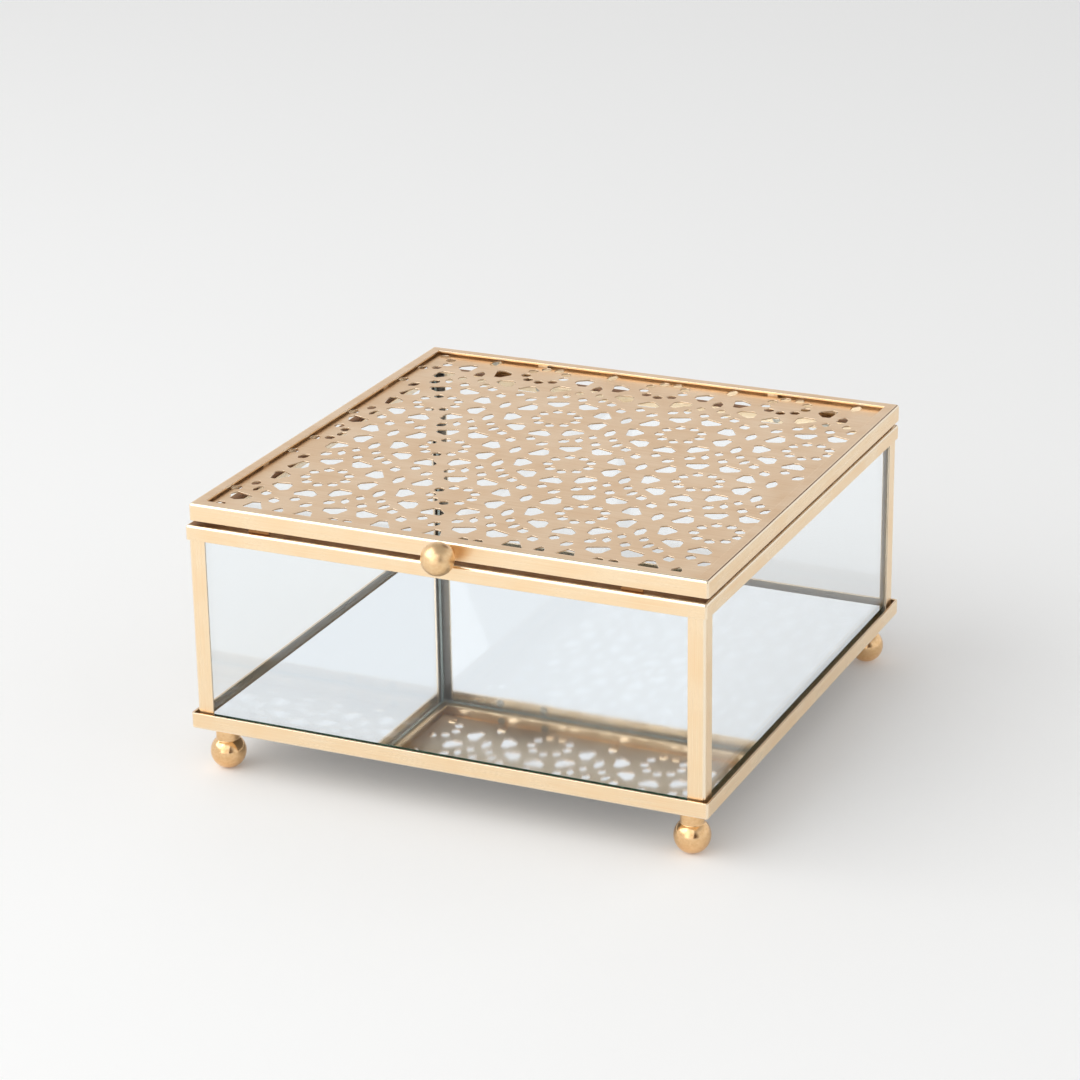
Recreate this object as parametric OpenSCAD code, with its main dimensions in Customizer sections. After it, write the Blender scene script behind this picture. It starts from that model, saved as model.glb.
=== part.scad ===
// Vanity trinket box: a square glass case in folded brass angle, on four ball feet,
// with a mirror floor and a hinged lid of pierced sheet.
// Millimetres. X runs along the front edge, Y to the back, Z up from the ground.

/* [Case] */
// Width of the case over the base rim
case_w = 150; // [90:1:260]
// Depth of the case over the base rim
case_d = 150; // [90:1:260]
// Height of the case from its underside to the top of its upper frame
case_h = 58.6; // [40:0.2:140]
// Thickness of the glass
glass_t = 2; // [1.5:0.1:4]
// Thickness of the mirror
mirror_t = 2; // [1.5:0.1:4]
// Thickness of the floor plate under the mirror
plate_t = 0.5; // [0.4:0.1:1.5]

/* [Brass angle] */
// Thickness of the folded sheet
sheet_t = 0.6; // [0.4:0.05:1]
// Outside radius of the folds
fold_r = 0.8; // [0.65:0.05:1.5]
// Width of the flat flanges of the base rim and the upper frame
flange_w = 4.8; // [4:0.1:9]
// Width of each face of the corner posts
post_w = 4.8; // [3.5:0.1:9]
// Height of the base rim's upstanding wall
base_lip = 4.6; // [3:0.1:9]
// Height of the upper frame's wall
top_lip = 4.1; // [4:0.1:9]
// Step in from the base rim to the upper frame, on each side
top_inset = 0.8; // [0.1:0.05:1.2]

/* [Lid] */
// Height of the lid's wall
lid_lip = 4.8; // [4.7:0.1:9]
// Width of the lid's flat flange
lid_flange_w = 3.4; // [2.8:0.1:9]
// Step in from the base rim to the lid, on each side
lid_inset = 1.2; // [0.3:0.05:2]
// Sideways slip of the lid on its hinges
lid_slip_x = 0.5; // [-1:0.1:1]
// Gap between the upper frame and the lid
lid_gap = 1.2; // [0.8:0.1:2]
// Thickness of the pierced sheet
panel_t = 0.4; // [0.3:0.1:1]
// Gap between the lid's flange and the pierced sheet
panel_drop = 0.6; // [0.3:0.1:1]
// How far the lid opens
open_angle = 100; // [92:1:120]

/* [Pierced pattern] */
// Distance between rosettes along a row
rosette_pitch_x = 37.7; // [36:0.1:60]
// Distance between rows of rosettes
rosette_pitch_y = 34.1; // [33:0.1:60]
// Openings round each rosette
petals = 9; // [5:1:9]
// Radius of the ring of large openings
petal_ring_r = 12.8; // [12.4:0.1:13.4]
// Radial length of a large opening
petal_len = 4.8; // [3:0.1:5.4]
// Width of a large opening, along the ring
petal_w = 6.8; // [4:0.1:7]
// Radius of the ring of small openings
seed_ring_r = 6; // [5.6:0.1:6.6]
// Size of a small opening
seed_d = 3.2; // [1.5:0.1:3.2]
// Length of the tall slots between rosettes of one row
tall_slot_len = 6.4; // [3:0.1:6.4]
// Length of the short slots between rosettes of two rows
short_slot_len = 4; // [2:0.1:4]
// Width of the slots
slot_w = 2.8; // [1.2:0.1:2.8]

/* [Feet and knob] */
// Diameter of the ball feet
foot_d = 9.8; // [7:0.1:16]
// Height of the neck between a ball and the case
foot_neck = 3.25; // [1.5:0.05:8]
// Diameter of the neck
foot_neck_d = 6.4; // [4.5:0.1:7]
// Distance from the case's faces to the centre of a foot
foot_inset = 7; // [6:0.1:20]
// Diameter of the knob
knob_d = 8.9; // [7:0.1:10]
// Length of the knob's collar
knob_collar = 1.5; // [0.7:0.1:4]
// Sideways position of the knob
knob_x = 2.6; // [-20:0.1:20]

/* [Hinges] */
// Distance between the centres of the two hinges
hinge_spacing = 90; // [40:1:180]
// Width of a hinge
hinge_w = 20; // [16:0.5:30]
// Outside diameter of the hinge barrel
barrel_d = 4; // [3.6:0.1:4.4]
// Diameter of the hinge pin
pin_d = 2; // [1.4:0.1:2.4]
// Running clearance of the pin, on the radius
pin_play = 0.06; // [0.03:0.01:0.1]
// Reach of the lid's stop tab behind the case's back face
stop_reach = 7; // [6:0.1:9]

/* [Hidden] */
$fn = 48;

// Clearances and small fixed sizes
eps = 0.01;
mitre_play = 0.05;
glass_play = 0.3;
floor_play = 0.3;
rest_play = 0.1;
felt_play = 0.2;
panel_edge_play = 0.6;
hole_margin = 0.4;
foot_flat = 0.15;
screw_r = 1.2;
screw_play = 0.2;
screw_head_r = 2.4;
screw_head_h = 0.4;
screw_depth = 6;
tape_t = 0.5;
tape_w = 10;
rivet_r = 0.7;
rivet_play = 0.05;
rivet_head_r = 1.15;
rivet_head_h = 0.5;
rivet_tail_h = 0.4;
stud_r = 1;
knob_drop = 0.25;
knob_sink = 0.45;
stud_bite = 3;
collar_r = 2.2;
knuckles = 5;
knuckle_play = 0.15;
barrel_off = 0.3;
tab_off = 0.15;
stop_play = 0.1;
stop_w = 5;
leaf_edge = 0.2;
solder_w = 1.4;
solder_l = 3;
ring_turn = 2.5;
rest_w = 6;

// Levels
ball_z = foot_d / 2 - foot_flat;
case_z = foot_d - foot_flat + foot_neck;
flange_z = case_z + sheet_t;
plate_top = flange_z + plate_t;
mirror_z = plate_top + tape_t;
case_top = case_z + case_h;
lid_z = case_top + lid_gap;
lid_top = lid_z + lid_lip;
panel_top = lid_top - sheet_t - panel_drop;
panel_z = panel_top - panel_t;
knob_z = (lid_z + lid_top) / 2 - knob_drop;

// Plan: the upper frame and the lid share one back face, which carries the hinges
post_inset = top_inset + sheet_t;
glass_inset = post_inset + sheet_t;
room_inset = glass_inset + glass_t;
lid_slip_y = lid_inset - top_inset;
lid_w = case_w - 2 * lid_inset;
lid_d = case_d - 2 * lid_inset;
back_y = case_d / 2 - top_inset;
lid_front_y = lid_slip_y - lid_d / 2;
panel_w = lid_w - 2 * sheet_t - 2 * panel_edge_play;
panel_d = lid_d - 2 * sheet_t - 2 * panel_edge_play;
foot_x = case_w / 2 - foot_inset;
foot_y = case_d / 2 - foot_inset;

// Hinge line
barrel_r = barrel_d / 2;
pin_r = pin_d / 2;
axis_y = back_y + barrel_off + barrel_r;
axis_z = case_top + lid_gap / 2;
knuckle_l = hinge_w / knuckles;
tab_d = barrel_r + tab_off;
ledge_y = (tab_d - stop_play + (tab_d + sheet_t) * cos(open_angle)) / sin(open_angle);
leaf_low = case_top - top_lip + leaf_edge;
leaf_high = lid_top - fold_r;
rivet_dx = hinge_w / 2 - 2.6;
case_rivet_z = axis_z - barrel_r - rivet_head_r - 0.1;
lid_rivet_z = axis_z + tab_d + 1;

// Colours
brass = [0.88, 0.76, 0.56];
pale_brass = [0.93, 0.83, 0.65];
clear = [0.75, 0.9, 0.88, 0.35];
silver = [0.8, 0.86, 0.9];
grey = [0.35, 0.35, 0.36];

// Angle section: wall along +Y from the origin, flange along +X, round outer fold
module angle_section(wall, flange) {
    difference() {
        square([flange, wall]);
        translate([sheet_t, sheet_t])
            square([flange, wall]);
        difference() {
            translate([-eps, -eps])
                square(fold_r + eps);
            translate([fold_r, fold_r])
                circle(fold_r);
        }
    }
}

// Mitred rail on the front side of a frame of the given plan; up = flange below, wall upward
module rail(len, half, z0, lip, flange, up) {
    intersection() {
        translate([-len / 2, -half, up ? z0 : z0 + lip])
            rotate([90, 0, 90])
                linear_extrude(len)
                    mirror([0, up ? 0 : 1])
                        angle_section(lip, flange);
        translate([0, 0, z0 - 1])
            linear_extrude(lip + 2)
                polygon([
                    [-len / 2 + mitre_play, -half - eps],
                    [len / 2 - mitre_play, -half - eps],
                    [len / 2 - mitre_play - flange - 1, -half + flange + 1],
                    [-len / 2 + mitre_play + flange + 1, -half + flange + 1]
                ]);
    }
}

// One side of a frame: 0 front, 1 right, 2 back, 3 left
module frame_side(side, w, d, z0, lip, flange, up) {
    len = side % 2 == 0 ? w : d;
    half = side % 2 == 0 ? d / 2 : w / 2;
    rotate([0, 0, 90 * side])
        rail(len, half, z0, lip, flange, up);
}

module base_rail(side) {
    color(brass)
        frame_side(side, case_w, case_d, case_z, base_lip, flange_w, true);
}

module top_rail(side) {
    z0 = case_top - top_lip;
    w = case_w - 2 * top_inset;
    d = case_d - 2 * top_inset;
    color(brass)
        if (side == 2) {
            difference() {
                frame_side(side, w, d, z0, top_lip, flange_w, false);
                rivet_holes(case_rivet_z);
            }
        } else {
            frame_side(side, w, d, z0, top_lip, flange_w, false);
        }
}

module lid_rail(side) {
    color(pale_brass)
        difference() {
            translate([lid_slip_x, lid_slip_y, 0])
                frame_side(side, lid_w, lid_d, lid_z, lid_lip, lid_flange_w, false);
            if (side == 2)
                rivet_holes(lid_rivet_z);
            if (side == 0)
                translate([knob_x, lid_front_y + 1, knob_z])
                    rotate([90, 0, 0])
                        cylinder(r = stud_r, h = 2);
        }
}

// Corner post: an angle with its fold outward, at the corner (sx, sy)
module post(sx, sy) {
    color(brass)
        mirror([sx > 0 ? 1 : 0, 0, 0])
            mirror([0, sy > 0 ? 1 : 0, 0])
                translate([-case_w / 2 + post_inset, -case_d / 2 + post_inset, flange_z])
                    linear_extrude(case_top - sheet_t - flange_z)
                        angle_section(post_w, post_w);
}

// Upright pane on side 0 front, 1 right, 2 back, 3 left; the side panes stand between the others
module pane(side) {
    across = side % 2 == 0;
    len = across ? case_w - 2 * glass_inset : case_d - 2 * room_inset - 2 * mitre_play;
    half = (across ? case_d : case_w) / 2 - glass_inset;
    color(clear)
        rotate([0, 0, 90 * side])
            translate([-len / 2, -half, flange_z])
                cube([len, glass_t, case_top - sheet_t - glass_play - flange_z]);
}

// Flat floor layer that lies inside the given step from the case's faces
module floor_layer(inset, z0, t) {
    translate([-case_w / 2 + inset, -case_d / 2 + inset, z0])
        cube([case_w - 2 * inset, case_d - 2 * inset, t]);
}

// Puts the children at the four feet
module at_feet() {
    for (sx = [-1, 1])
        for (sy = [-1, 1])
            translate([sx * foot_x, sy * foot_y, 0])
                children();
}

module base_felt() {
    color(grey)
        difference() {
            floor_layer(flange_w + felt_play, case_z, sheet_t);
            at_feet()
                translate([0, 0, case_z - 1])
                    cylinder(r = screw_r + screw_play, h = sheet_t + 2);
        }
}

module base_plate() {
    color(grey)
        difference() {
            floor_layer(room_inset + floor_play, flange_z, plate_t);
            at_feet()
                translate([0, 0, flange_z - 1])
                    cylinder(r = screw_r + screw_play, h = plate_t + 2);
        }
}

module mirror_tape() {
    strip_l = case_d - 2 * (foot_inset + screw_head_r) - 20;
    color(grey)
        for (sx = [-1, 1])
            translate([sx * case_w / 4 - tape_w / 2, -strip_l / 2, plate_top])
                cube([tape_w, strip_l, tape_t]);
}

module mirror_floor() {
    color(silver)
        floor_layer(room_inset + floor_play, mirror_z, mirror_t);
}

// Ball with a small ground flat, a neck and a blind hole for its screw
module foot(sx, sy) {
    color(brass)
        translate([sx * foot_x, sy * foot_y, 0])
            difference() {
                intersection() {
                    union() {
                        translate([0, 0, ball_z])
                            sphere(foot_d / 2);
                        translate([0, 0, ball_z])
                            cylinder(d = foot_neck_d, h = case_z - ball_z);
                    }
                    translate([0, 0, case_z / 2])
                        cube([2 * foot_d, 2 * foot_d, case_z], center = true);
                }
                translate([0, 0, case_z - screw_depth])
                    cylinder(r = screw_r, h = screw_depth + 1);
            }
}

module foot_screws() {
    color(silver)
        at_feet() {
            translate([0, 0, case_z - screw_depth])
                cylinder(r = screw_r, h = plate_top - case_z + screw_depth + eps);
            translate([0, 0, plate_top])
                cylinder(r = screw_head_r, h = screw_head_h);
        }
}

// Opening with its point towards the ring's centre, centred on the origin, outward along +X
module petal_hole() {
    r = petal_len / 2;
    w = petal_w / 2;
    polygon([
        [-r, -w * 0.26], [r * 0.14, -w], [r, -w * 0.84],
        [r, w * 0.84], [r * 0.14, w], [-r, w * 0.26]
    ]);
}

// Long hexagon centred on the origin, along +Y
module slot_hole(len, w) {
    polygon([
        [0, -len / 2], [w / 2, -len / 5], [w / 2, len / 5],
        [0, len / 2], [-w / 2, len / 5], [-w / 2, -len / 5]
    ]);
}

// True where an opening of reach r at (x, y) stays inside the sheet
function fits(x, y, r) =
    abs(x) + r < panel_w / 2 - hole_margin && abs(y) + r < panel_d / 2 - hole_margin;

// Puts the child at (x, y), turned, where its reach stays inside the sheet
module opening_at(x, y, turn, reach) {
    if (fits(x, y, reach))
        translate([x, y])
            rotate(turn)
                children();
}

// Border openings of one rosette, mirrored to both sides where the place is not on a border's own
// middle: across and up as parts of the pitches, length, width, turn
border_openings = [
    [0.5, 0.165, tall_slot_len, slot_w, 0],
    [0.5, -0.178, tall_slot_len, slot_w, 0],
    [0.5, -0.472, short_slot_len - 0.2, slot_w, 0],
    [0, -0.533, short_slot_len - 0.4, slot_w, 0],
    [0.418, -0.322, short_slot_len - 0.4, slot_w - 0.4, 8],
    [0.347, -0.428, short_slot_len + 0.6, slot_w - 0.6, 16],
    [0.252, -0.495, short_slot_len, slot_w, -24],
    [0.127, -0.621, short_slot_len + 0.4, slot_w, -28]
];

// Openings of one rosette and of its border
module rosette_holes(cx, cy) {
    for (k = [0 : petals - 1]) {
        a = -90 + ring_turn + 360 / petals * k;
        opening_at(cx + petal_ring_r * cos(a), cy + petal_ring_r * sin(a), a, petal_w / 2 + 0.2)
            petal_hole();
        opening_at(cx + seed_ring_r * cos(a), cy + seed_ring_r * sin(a), a, seed_d / 2)
            circle(d = seed_d, $fn = 6);
    }
    for (b = border_openings)
        for (side = b[0] == 0.5 || b[0] == 0 ? [1] : [-1, 1])
            opening_at(
                cx + side * b[0] * rosette_pitch_x, cy + b[1] * rosette_pitch_y,
                side * b[4], b[2] / 2
            )
                slot_hole(b[2], b[3]);
}

// The first rosette's place on the sheet, and the rows and columns that reach the edges
rosette_x0 = -12.95;
rosette_y0 = -39.1;
rows = ceil(panel_d / rosette_pitch_y / 2) + 2;
cols = ceil(panel_w / rosette_pitch_x / 2) + 2;

module pierced_panel() {
    color(pale_brass)
        translate([lid_slip_x, lid_slip_y, panel_z])
            linear_extrude(panel_t)
                difference() {
                    square([panel_w, panel_d], center = true);
                    for (j = [-rows : rows])
                        for (i = [-cols : cols]) {
                            shift = abs(j) % 2 == 1 ? rosette_pitch_x / 2 : 0;
                            cx = rosette_x0 + i * rosette_pitch_x + shift;
                            rosette_holes(cx, rosette_y0 + j * rosette_pitch_y);
                        }
                }
}

// Solder tabs between the flange and the pierced sheet, two on each side
module panel_solder() {
    reach_x = panel_w / 2 - 0.2;
    reach_y = panel_d / 2 - 0.2;
    color(brass)
        translate([lid_slip_x, lid_slip_y, panel_top])
            for (s = [-1, 1])
                for (t = [-1, 1]) {
                    translate([s * (reach_x - solder_w / 2), t * panel_d / 4, panel_drop / 2])
                        cube([solder_w, solder_l, panel_drop], center = true);
                    translate([t * panel_w / 4, s * (reach_y - solder_w / 2), panel_drop / 2])
                        cube([solder_l, solder_w, panel_drop], center = true);
                }
}

// Two tabs inside the lid's front wall that come down on the upper frame
module lid_rests() {
    z0 = case_top + rest_play;
    color(brass)
        for (s = [-1, 1])
            translate([
                lid_slip_x + s * lid_w * 0.36 - rest_w / 2,
                lid_front_y + sheet_t,
                z0
            ])
                cube([rest_w, sheet_t * 0.8, panel_z - 0.2 - z0]);
}

knob_y = lid_front_y - knob_collar - knob_d / 2 + knob_sink;

module knob() {
    color(pale_brass)
        difference() {
            union() {
                translate([knob_x, knob_y, knob_z])
                    sphere(knob_d / 2);
                translate([knob_x, lid_front_y, knob_z])
                    rotate([90, 0, 0])
                        cylinder(r = collar_r, h = lid_front_y - knob_y);
            }
            translate([knob_x, lid_front_y + 1, knob_z])
                rotate([90, 0, 0])
                    cylinder(r = stud_r, h = knob_collar + stud_bite + 1);
        }
}

module knob_stud() {
    color(silver) {
        translate([knob_x, lid_front_y + sheet_t + eps, knob_z])
            rotate([90, 0, 0])
                cylinder(r = stud_r, h = sheet_t + knob_collar + stud_bite + eps);
        translate([knob_x, lid_front_y + sheet_t + rivet_tail_h, knob_z])
            rotate([90, 0, 0])
                cylinder(r = rivet_head_r, h = rivet_tail_h);
    }
}

// Puts the children at both rivets of both hinges, at a height
module at_rivets(z) {
    for (s = [-1, 1])
        for (t = [-1, 1])
            translate([s * hinge_spacing / 2 + t * rivet_dx, back_y, z])
                children();
}

module rivet_holes(z) {
    at_rivets(z)
        translate([0, sheet_t + 1, 0])
            rotate([90, 0, 0])
                cylinder(r = rivet_r + rivet_play, h = 2 * sheet_t + 2);
}

// Shank through the leaf and the wall, with a head outside and a tail inside
module rivets(z) {
    at_rivets(z)
        rotate([90, 0, 0]) {
            translate([0, 0, -sheet_t - eps])
                cylinder(r = rivet_r, h = 2 * sheet_t + 2 * eps);
            translate([0, 0, -sheet_t - rivet_head_h])
                cylinder(r = rivet_head_r, h = rivet_head_h);
            translate([0, 0, sheet_t])
                cylinder(r = rivet_head_r, h = rivet_tail_h);
        }
}

// Knuckles first, first + 2, ... of a leaf; up = +1 for the lid, -1 for the case
module knuckle_set(hx, first, up, bore_r) {
    for (k = [first : 2 : knuckles - 1])
        translate([hx - hinge_w / 2 + k * knuckle_l + knuckle_play / 2, axis_y, axis_z])
            difference() {
                union() {
                    rotate([0, 90, 0])
                        cylinder(r = barrel_r, h = knuckle_l - knuckle_play);
                    translate([0, back_y - axis_y, up > 0 ? barrel_r - sheet_t : -barrel_r])
                        cube([knuckle_l - knuckle_play, axis_y - back_y, sheet_t]);
                }
                translate([-1, 0, 0])
                    rotate([0, 90, 0])
                        cylinder(r = bore_r, h = knuckle_l + 2);
            }
}

module case_leaf(s) {
    hx = s * hinge_spacing / 2;
    top = axis_z - barrel_r + sheet_t;
    color(brass)
        difference() {
            union() {
                translate([hx - hinge_w / 2, back_y, leaf_low])
                    cube([hinge_w, sheet_t, top - leaf_low]);
                translate([hx - stop_w / 2, back_y, axis_z - tab_d - sheet_t])
                    cube([stop_w, axis_y + ledge_y - back_y, sheet_t]);
                knuckle_set(hx, 0, -1, pin_r);
            }
            rivet_holes(case_rivet_z);
        }
}

module lid_leaf(s) {
    hx = s * hinge_spacing / 2;
    low = axis_z + barrel_r - sheet_t;
    color(pale_brass)
        difference() {
            union() {
                translate([hx - hinge_w / 2, back_y, low])
                    cube([hinge_w, sheet_t, leaf_high - low]);
                translate([hx - stop_w / 2, back_y, axis_z + tab_d])
                    cube([stop_w, stop_reach, sheet_t]);
                knuckle_set(hx, 1, 1, pin_r + pin_play);
            }
            rivet_holes(lid_rivet_z);
        }
}

module hinge_pin(s) {
    color(silver)
        translate([s * hinge_spacing / 2 - hinge_w / 2, axis_y, axis_z])
            rotate([0, 90, 0])
                cylinder(r = pin_r, h = hinge_w);
}

base_rail(0);  // base_rail_front
base_rail(1);  // base_rail_right
base_rail(2);  // base_rail_back
base_rail(3);  // base_rail_left
top_rail(0);  // top_rail_front
top_rail(1);  // top_rail_right
top_rail(2);  // top_rail_back
top_rail(3);  // top_rail_left
post(-1, -1);  // post_front_left
post(1, -1);  // post_front_right
post(1, 1);  // post_back_right
post(-1, 1);  // post_back_left
pane(0);  // glass_front
pane(1);  // glass_right
pane(2);  // glass_back
pane(3);  // glass_left
base_felt();
base_plate();
mirror_tape();
mirror_floor();
foot(-1, -1);  // foot_front_left
foot(1, -1);  // foot_front_right
foot(1, 1);  // foot_back_right
foot(-1, 1);  // foot_back_left
foot_screws();
lid_rail(0);  // lid_rail_front
lid_rail(1);  // lid_rail_right
lid_rail(2);  // lid_rail_back
lid_rail(3);  // lid_rail_left
pierced_panel();
panel_solder();
lid_rests();
knob();
knob_stud();
case_leaf(-1);  // case_leaf_left
case_leaf(1);  // case_leaf_right
lid_leaf(-1);  // lid_leaf_left
lid_leaf(1);  // lid_leaf_right
hinge_pin(-1);  // hinge_pin_left
hinge_pin(1);  // hinge_pin_right
rivets(case_rivet_z);  // case_rivets
rivets(lid_rivet_z);  // lid_rivets
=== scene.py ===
"""Looks of the vanity trinket box: brushed brass angle, glass, mirror floor and pierced lid.

Lengths are in millimetres until a mesh is written, which is in metres in the frame's axes:
X runs along the front edge, Y to the hinges at the back, Z up from the ground.
"""

import logging
from dataclasses import dataclass
from enum import Enum

import bpy
import numpy as np
from mathutils import Matrix, Vector
from mathutils.geometry import delaunay_2d_cdt


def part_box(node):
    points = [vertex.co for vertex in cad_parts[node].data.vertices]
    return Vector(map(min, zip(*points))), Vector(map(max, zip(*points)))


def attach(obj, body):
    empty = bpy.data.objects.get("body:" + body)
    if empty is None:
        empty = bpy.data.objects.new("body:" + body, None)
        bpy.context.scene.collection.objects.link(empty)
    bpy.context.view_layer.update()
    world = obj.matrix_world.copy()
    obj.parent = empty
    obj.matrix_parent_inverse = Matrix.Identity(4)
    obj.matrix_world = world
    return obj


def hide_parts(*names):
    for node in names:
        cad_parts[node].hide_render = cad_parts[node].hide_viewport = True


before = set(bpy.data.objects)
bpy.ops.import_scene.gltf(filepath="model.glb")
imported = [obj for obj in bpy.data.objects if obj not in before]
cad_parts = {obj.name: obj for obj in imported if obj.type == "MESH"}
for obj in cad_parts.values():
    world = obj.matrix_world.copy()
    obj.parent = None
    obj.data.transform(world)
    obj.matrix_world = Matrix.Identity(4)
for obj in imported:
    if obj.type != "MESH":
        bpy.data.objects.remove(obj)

MM = 0.001
LOG = logging.getLogger("trinket_box")
CASE, LID = "case", "lid"
SIDES = ("front", "right", "back", "left")
CORNERS = ("front_left", "front_right", "back_right", "back_left")
WEAR = "wear"
RUBBED = 0.8
SHARP_DEG = 50.0
ALONG = 0.99
LEVEL = 0.999

Values = dict[str | int, object]
Socket = bpy.types.NodeSocket


class Grain(Enum):
    """Direction of the brushing, as the axis that the scratches run along."""

    ACROSS = 0
    DEEP = 1
    UP = 2
    NONE = 3


# ------------------------------------------------------------------ finishes


def linear(code: str) -> tuple[float, float, float, float]:
    """Turns an sRGB hex colour into linear light.

    Args:
        code: six hex digits after a hash sign.

    Returns:
        Red, green and blue in linear light, and an alpha of 1.
    """
    srgb = np.array([int(code[i : i + 2], 16) for i in (1, 3, 5)]) / 255
    light = np.where(srgb <= 0.04045, srgb / 12.92, ((srgb + 0.055) / 1.055) ** 2.4)
    return (*map(float, light), 1.0)


def add_node(
    tree: bpy.types.NodeTree,
    kind: str,
    sockets: Values | None = None,
    out: str | None = None,
    **settings: object,
) -> Socket | None:
    """Adds a node with its settings, its socket values and its links.

    Args:
        tree: the node tree that takes it.
        kind: the node's type name after "ShaderNode".
        sockets: for each input, by name or place, a value or an output to link from.
        out: name of the output wanted, or None for the first one in use.
        settings: properties of the node itself.

    Returns:
        The wanted output, or None if the node has none.
    """
    made = tree.nodes.new("ShaderNode" + kind)
    for name, value in settings.items():
        setattr(made, name, value)
    for name, value in (sockets or {}).items():
        used = [s for s in made.inputs if s.enabled and s.name == name]
        target = made.inputs[name] if isinstance(name, int) else used[0]
        if isinstance(value, Socket):
            tree.links.new(value, target)
        else:
            target.default_value = value
    found = [s for s in made.outputs if s.enabled and out in (None, s.name)]
    return found[0] if found else None


def new_material(name: str) -> tuple[bpy.types.Material, bpy.types.NodeTree]:
    """Makes a material with an empty node tree.

    Args:
        name: the material's name.

    Returns:
        The material and its node tree.
    """
    made = bpy.data.materials.new(name)
    made.use_nodes = True
    made.node_tree.nodes.clear()
    return made, made.node_tree


def noise(tree: bpy.types.NodeTree, size_mm: tuple[float, float, float], detail: float) -> Socket:
    """Adds noise on Object coordinates, with its grains of a real size.

    Args:
        tree: the node tree.
        size_mm: size of a grain along X, Y and Z.
        detail: octaves of finer noise.

    Returns:
        The noise value's output, around 0.5.
    """
    place = add_node(tree, "TexCoord", out="Object")
    scale = tuple(1 / (s * MM) for s in size_mm)
    sized = add_node(tree, "Mapping", {"Vector": place, "Scale": scale})
    return add_node(tree, "TexNoise", {"Vector": sized, "Scale": 1.0, "Detail": detail}, out="Fac")


def span(tree: bpy.types.NodeTree, source: Socket, low: float, high: float) -> Socket:
    """Maps the middle of a noise, 0.3 to 0.7, on to low..high.

    Args:
        tree: the node tree.
        source: the value to map.
        low: result at 0.3 and under.
        high: result at 0.7 and over.

    Returns:
        The mapped value's output.
    """
    ends = {"Value": source, "From Min": 0.3, "From Max": 0.7, "To Min": low, "To Max": high}
    return add_node(tree, "MapRange", ends)


def mix(
    tree: bpy.types.NodeTree, factor: Socket, first: object, second: object, blend: str = "MIX"
) -> Socket:
    """Mixes two colours.

    Args:
        tree: the node tree.
        factor: share of the second colour.
        first: the first colour, or an output that gives it.
        second: the second colour, or an output that gives it.
        blend: how the second is laid on the first.

    Returns:
        The mixed colour's output.
    """
    sockets = {"Factor": factor, "A": first, "B": second}
    return add_node(tree, "Mix", sockets, data_type="RGBA", blend_type=blend)


@dataclass(frozen=True)
class BrushedBrass:
    """Rolled brass sheet, brushed one way under a pale champagne lacquer.

    The eye gets a soft streaked sheen along the grain, slow mottling and brighter rubbed folds.
    """

    name: str
    grain: Grain
    colour: str = "#FFE9C8"
    streak: str = "#FBDEB6"
    mottle: str = "#FAEEDD"
    worn: str = "#FFF0D8"
    roughness: float = 0.3
    scratch_mm: float = 0.2
    run_mm: float = 24.0
    mottle_mm: float = 12.0
    scratch_depth_mm: float = 0.006
    ripple_depth_mm: float = 0.04

    def build(self) -> bpy.types.Material:
        """Builds the material.

        Real brushing is about 0.05 mm apart. It is drawn four times as coarse, so that it shows.

        Returns:
            The brass material.
        """
        made, tree = new_material(self.name)
        grain = [self.scratch_mm] * 3
        if self.grain is not Grain.NONE:
            grain[self.grain.value] = self.run_mm
        scratches = noise(tree, tuple(grain), 3.0)
        slow = noise(tree, (self.mottle_mm,) * 3, 2.0)
        wear = add_node(tree, "Attribute", attribute_name=WEAR, out="Fac")
        streaks = mix(tree, span(tree, scratches, 0.0, 1.0), linear(self.colour), linear(self.streak))
        mottled = mix(tree, span(tree, slow, 0.0, 0.5), streaks, linear(self.mottle), "MULTIPLY")
        rubbed = mix(tree, wear, mottled, linear(self.worn))
        fine = span(tree, scratches, self.roughness - 0.05, self.roughness + 0.05)
        dull = add_node(tree, "Math", {0: fine, 1: span(tree, slow, -0.03, 0.04)}, operation="ADD")
        rough = add_node(tree, "MapRange", {"Value": wear, "To Min": dull, "To Max": self.roughness - 0.1})
        ripple = add_node(
            tree, "Bump", {"Height": slow, "Distance": self.ripple_depth_mm * MM, "Strength": 1.0}
        )
        relief = add_node(
            tree,
            "Bump",
            {"Height": scratches, "Distance": self.scratch_depth_mm * MM, "Strength": 1.0, "Normal": ripple},
        )
        brass = add_node(
            tree,
            "BsdfPrincipled",
            {"Base Color": rubbed, "Metallic": 1.0, "Roughness": rough, "Normal": relief},
        )
        add_node(tree, "OutputMaterial", {"Surface": brass})
        return made


@dataclass(frozen=True)
class FloatGlass:
    """Polished face of clear float glass. It passes light with a faint cool tint."""

    name: str
    tint: str
    roughness: float

    def build(self) -> bpy.types.Material:
        """Builds the material. Lamps reach through it, so that it throws hardly any shadow.

        Returns:
            The glass material.
        """
        made, tree = new_material(self.name)
        smear = noise(tree, (18.0, 18.0, 18.0), 2.0)
        glass = add_node(
            tree,
            "BsdfPrincipled",
            {
                "Base Color": linear(self.tint),
                "Roughness": span(tree, smear, self.roughness, self.roughness + 0.012),
                "IOR": 1.4,
                "Specular IOR Level": 0.2,
                "Transmission Weight": 1.0,
            },
        )
        clear = add_node(tree, "BsdfTransparent", {"Color": linear(self.tint)})
        lamp = add_node(tree, "LightPath", out="Is Shadow Ray")
        mixed = add_node(tree, "MixShader", {0: lamp, 1: glass, 2: clear})
        add_node(tree, "OutputMaterial", {"Surface": mixed})
        return made


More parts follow.
